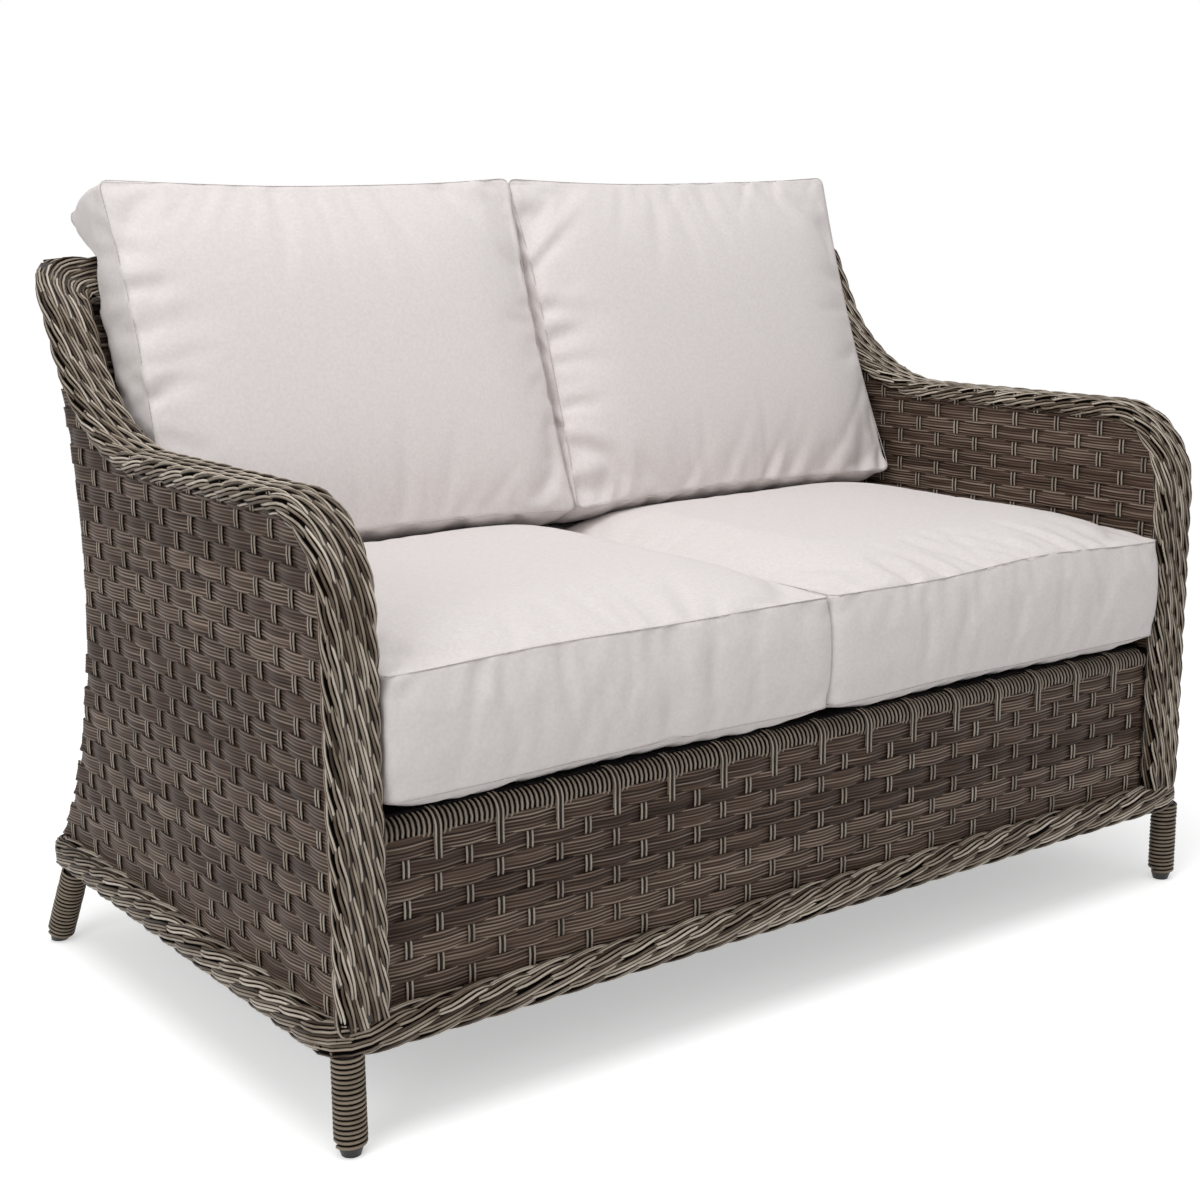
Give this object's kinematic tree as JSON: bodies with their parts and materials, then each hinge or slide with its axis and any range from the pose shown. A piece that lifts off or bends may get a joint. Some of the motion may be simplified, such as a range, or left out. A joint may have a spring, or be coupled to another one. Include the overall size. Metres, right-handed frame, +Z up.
{
  "type": "patio loveseat",
  "caption": "Woven wicker patio loveseat with rolled arms, braided edges, a waisted back, wound legs and loose boxed cushions on seat and back.",
  "frame": {"origin": "on the floor, under the middle of the base", "axes": "+X to the right seen from the front, along the seat; +Y to the back; +Z up"},
  "size_m": [1.3354, 0.76, 0.9451],
  "materials": {
    "frame_tube": "powder-coated aluminium tube, dark brown, satin",
    "flat_weave": "flat synthetic wicker ribbon, brown-taupe with fine lengthwise ridges",
    "braid_cane": "round synthetic wicker strands in cream, grey and taupe",
    "wound_cord": "round synthetic cord, grey-taupe",
    "cushion_cover": "plain woven outdoor fabric, off-white, self seams",
    "glide_plastic": "moulded black plastic",
    "webbing": "woven elastic webbing, black"
  },
  "bodies": {
    "frame": {"arm_braid_left": "braid_cane", "arm_braid_right": "braid_cane", "arm_hoop_inner_left": "frame_tube", "arm_hoop_inner_right": "frame_tube", "arm_hoop_outer_left": "frame_tube", "arm_hoop_outer_right": "frame_tube", "back_lower_rail": "frame_tube", "back_stile": "frame_tube", "back_top_braid": "braid_cane", "back_top_rail": "frame_tube", "back_upright_left": "frame_tube", "back_upright_right": "frame_tube", "back_weave": "flat_weave", "base_braid_front": "braid_cane", "base_braid_left": "braid_cane", "base_braid_rear": "braid_cane", "base_braid_right": "braid_cane", "base_rail_front": "frame_tube", "base_rail_left": "frame_tube", "base_rail_rear": "frame_tube", "base_rail_right": "frame_tube", "floor_glides": "glide_plastic", "front_weave": "flat_weave", "leg_front_left": "frame_tube", "leg_front_right": "frame_tube", "leg_rear_left": "frame_tube", "leg_rear_right": "frame_tube", "leg_winding_front": "wound_cord", "leg_winding_rear": "wound_cord", "seat_cross_straps": "webbing", "seat_rail_centre": "frame_tube", "seat_rail_front": "frame_tube", "seat_rail_rear": "frame_tube", "seat_rail_side_left": "frame_tube", "seat_rail_side_right": "frame_tube", "seat_rail_winding": "wound_cord", "seat_straps": "webbing", "side_weave_inner_left": "flat_weave", "side_weave_inner_right": "flat_weave", "side_weave_outer_left": "flat_weave", "side_weave_outer_right": "flat_weave"},
    "seat_cushion_left": {"seat_cushion_left": "cushion_cover"},
    "seat_cushion_right": {"seat_cushion_right": "cushion_cover"},
    "back_cushion_left": {"back_cushion_left": "cushion_cover"},
    "back_cushion_right": {"back_cushion_right": "cushion_cover"}
  },
  "joints": [
    {"name": "seat_cushion_left_lift", "type": "slide", "parent": "frame", "child": "seat_cushion_left", "axis": [0, 0, 1], "range_m": [0, 0.5]},
    {"name": "back_cushion_left_lift", "type": "slide", "parent": "seat_cushion_left", "child": "back_cushion_left", "axis": [0, 0, 1], "range_m": [0, 0.5]},
    {"name": "seat_cushion_right_lift", "type": "slide", "parent": "frame", "child": "seat_cushion_right", "axis": [0, 0, 1], "range_m": [0, 0.5]},
    {"name": "back_cushion_right_lift", "type": "slide", "parent": "seat_cushion_right", "child": "back_cushion_right", "axis": [0, 0, 1], "range_m": [0, 0.5]}
  ]
}
